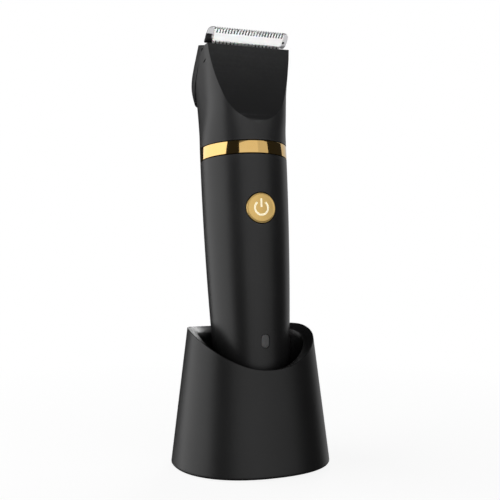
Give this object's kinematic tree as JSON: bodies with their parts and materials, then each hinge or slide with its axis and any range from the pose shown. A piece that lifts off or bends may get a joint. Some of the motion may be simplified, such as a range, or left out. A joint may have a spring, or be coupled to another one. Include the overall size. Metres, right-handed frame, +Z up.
{
  "type": "body groomer with charging stand",
  "caption": "Cordless body groomer with a toothed blade head, gold band and button, standing in a sculpted charging stand.",
  "frame": {"origin": "middle of the charging stand's flat rubber foot, on the surface it stands on", "axes": "+Z up, -Y towards the front (the groomer's button side), +X to the right as seen from the front"},
  "size_m": [0.0674, 0.0627, 0.1864],
  "materials": {
    "black_plastic": "fine-grained black plastic",
    "soft_black": "soft-touch matte black coating",
    "satin_black": "satin black plastic",
    "polished_gold": "polished gold plating",
    "brushed_gold": "brushed gold",
    "steel": "bright steel",
    "ceramic": "white ceramic",
    "rubber": "matte black rubber",
    "smoked_lens": "smoked lens",
    "circuit_board": "green solder mask",
    "battery_wrap": "heat-shrink sleeve",
    "white_nylon": "off-white nylon",
    "cast_iron": "plain cast iron"
  },
  "bodies": {
    "stand": {"stand_shell": "soft_black", "stand_base_cover": "black_plastic", "stand_pad": "rubber", "stand_ballast": "cast_iron", "stand_charging_board": "circuit_board", "stand_inlet": "steel", "base_screw_1": "steel", "base_screw_2": "steel", "base_screw_3": "steel", "pin_guide": "black_plastic", "pin_spring_left": "steel", "pin_spring_right": "steel"},
    "charging_pin_l": {"charging_pin_left": "polished_gold"},
    "charging_pin_r": {"charging_pin_right": "polished_gold"},
    "groomer": {"handle_shell": "soft_black", "end_cap": "soft_black", "end_cap_seal": "rubber", "charging_contact_left": "polished_gold", "charging_contact_right": "polished_gold", "chassis": "black_plastic", "battery_cell": "battery_wrap", "battery_tab_bottom": "steel", "battery_tab_top": "steel", "main_board": "circuit_board", "tact_switch": "satin_black", "status_led": "white_nylon", "light_pipe": "smoked_lens", "button_membrane": "rubber", "gold_band": "polished_gold", "neck_seal": "rubber", "head_housing": "soft_black", "motor_can": "steel", "motor_mount": "black_plastic", "mount_screw_left": "steel", "mount_screw_right": "steel"},
    "button": {"power_button": "brushed_gold"},
    "rotor": {"motor_shaft": "steel", "eccentric_cam": "white_nylon"},
    "cutting_unit": {"blade_carrier": "satin_black", "comb": "steel", "cutter_spring": "steel", "comb_screw_left": "steel", "comb_screw_right": "steel", "rear_cover": "satin_black"},
    "moving_blade": {"cutter": "ceramic", "cutter_yoke": "white_nylon"}
  },
  "joints": [
    {"name": "groomer_lift", "type": "slide", "parent": "stand", "child": "groomer", "axis": [0, 0.1132, 0.9936], "range_m": [0, 0.06]},
    {"name": "charging_pin_left_slide", "type": "slide", "parent": "stand", "child": "charging_pin_l", "axis": [0, -0.1132, -0.9936], "range_m": [0, 0.001], "stiffness_N_per_m": 300, "springref_m": -0.001, "deforming": ["pin_spring_left"]},
    {"name": "charging_pin_right_slide", "type": "slide", "parent": "stand", "child": "charging_pin_r", "axis": [0, -0.1132, -0.9936], "range_m": [0, 0.001], "stiffness_N_per_m": 300, "springref_m": -0.001, "deforming": ["pin_spring_right"]},
    {"name": "power_button_press", "type": "slide", "parent": "groomer", "child": "button", "axis": [0, 0.9936, -0.1132], "range_m": [0, 0.0006], "stiffness_N_per_m": 800, "springref_m": -0.0006},
    {"name": "motor_spin", "type": "hinge", "parent": "groomer", "child": "rotor", "pos_m": [0, 0.0113, 0.15988], "axis": [0, 0.1132, 0.9936], "continuous": true},
    {"name": "cutting_unit_release", "type": "slide", "parent": "groomer", "child": "cutting_unit", "axis": [0, 0.1132, 0.9936], "range_m": [0, 0.012]},
    {"name": "cutter_slide", "type": "slide", "parent": "cutting_unit", "child": "moving_blade", "axis": [1, 0, 0], "range_m": [-0.001, 0.001]}
  ]
}
